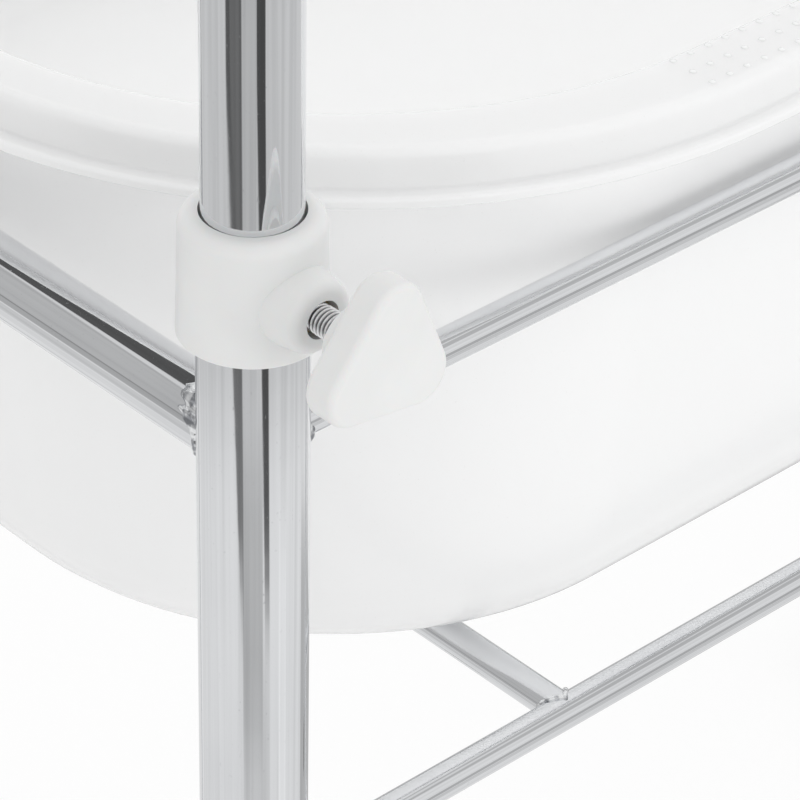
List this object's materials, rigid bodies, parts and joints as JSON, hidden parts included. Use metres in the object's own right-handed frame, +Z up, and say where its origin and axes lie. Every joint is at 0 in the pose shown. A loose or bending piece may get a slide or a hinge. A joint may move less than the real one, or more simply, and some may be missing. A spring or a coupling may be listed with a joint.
{
  "type": "pet bathtub",
  "caption": "Raised pet bath: a deep plastic tub seated in a chromed tube stand, with a drain plug and a sliding, swivelling tether mast held in a corner post by a knob screw.",
  "frame": {"origin": "centre of the sole under the mast post (front left), on the floor", "axes": "+X along the front long side, +Y towards the rear long side, +Z up"},
  "size_m": [0.8371, 0.5234, 1.3527],
  "materials": {
    "chrome_tube": "polished",
    "foot_rubber": "matt",
    "cap_plastic": "satin",
    "clamp_plastic": "satin",
    "insert_brass": "machined",
    "screw_steel": "bright",
    "pad_nylon": "matt",
    "tub_plastic": "gloss",
    "drain_steel": "polished",
    "seal_rubber": "matt",
    "nut_plastic": "matt",
    "plug_rubber": "matt"
  },
  "bodies": {
    "stand": {"post_front_left": "chrome_tube", "post_front_right": "chrome_tube", "post_rear_left": "chrome_tube", "post_rear_right": "chrome_tube", "foot_front_left": "foot_rubber", "foot_front_right": "foot_rubber", "foot_rear_left": "foot_rubber", "foot_rear_right": "foot_rubber", "post_cap_front_right": "cap_plastic", "post_cap_rear_left": "cap_plastic", "post_cap_rear_right": "cap_plastic", "end_rail_left": "chrome_tube", "end_rail_right": "chrome_tube", "side_rail_front": "chrome_tube", "side_rail_rear": "chrome_tube", "lower_bar_front": "chrome_tube", "lower_bar_rear": "chrome_tube", "cross_member_left": "chrome_tube", "cross_member_right": "chrome_tube", "weld_beads": "chrome_tube", "clamp_collar": "clamp_plastic", "thread_insert": "insert_brass"},
    "clamp_pad": {"pressure_pad": "pad_nylon"},
    "clamp_knob": {"clamp_knob": "clamp_plastic", "clamp_screw": "screw_steel"},
    "mast_carrier": {"glide_plug": "pad_nylon"},
    "mast": {"mast_tube": "chrome_tube", "arm_tip_cap": "cap_plastic", "tether_eye_outer": "chrome_tube", "tether_eye_inner": "chrome_tube"},
    "tub": {"tub_shell": "tub_plastic", "drain_flange": "drain_steel", "drain_gasket": "seal_rubber", "drain_nut": "nut_plastic"},
    "drain_plug": {"drain_plug": "plug_rubber", "plug_seal": "seal_rubber"}
  },
  "joints": [
    {"name": "clamp_pad_slide", "type": "slide", "parent": "stand", "child": "clamp_pad", "axis": [0, -1, 0], "range_m": [0, 0.0038]},
    {"name": "clamp_knob_turn", "type": "hinge", "parent": "clamp_pad", "child": "clamp_knob", "pos_m": [0, 0, 0.7886], "axis": [0, -1, 0], "range_deg": [0, 1080]},
    {"name": "mast_slide", "type": "slide", "parent": "stand", "child": "mast_carrier", "axis": [0, 0, 1], "range_m": [0, 0.22]},
    {"name": "mast_swivel", "type": "hinge", "parent": "mast_carrier", "child": "mast", "pos_m": [0, 0, 0.5], "axis": [0, 0, 1], "continuous": true},
    {"name": "tub_lift", "type": "slide", "parent": "stand", "child": "tub", "axis": [0, 0, 1], "range_m": [0, 0.26]},
    {"name": "drain_plug_lift", "type": "slide", "parent": "tub", "child": "drain_plug", "axis": [0, 0, 1], "range_m": [0, 0.05]}
  ],
  "couplings": [
    {"joint": "clamp_pad_slide", "follows": "clamp_knob_turn", "m_per_rad": 0.00019894}
  ]
}
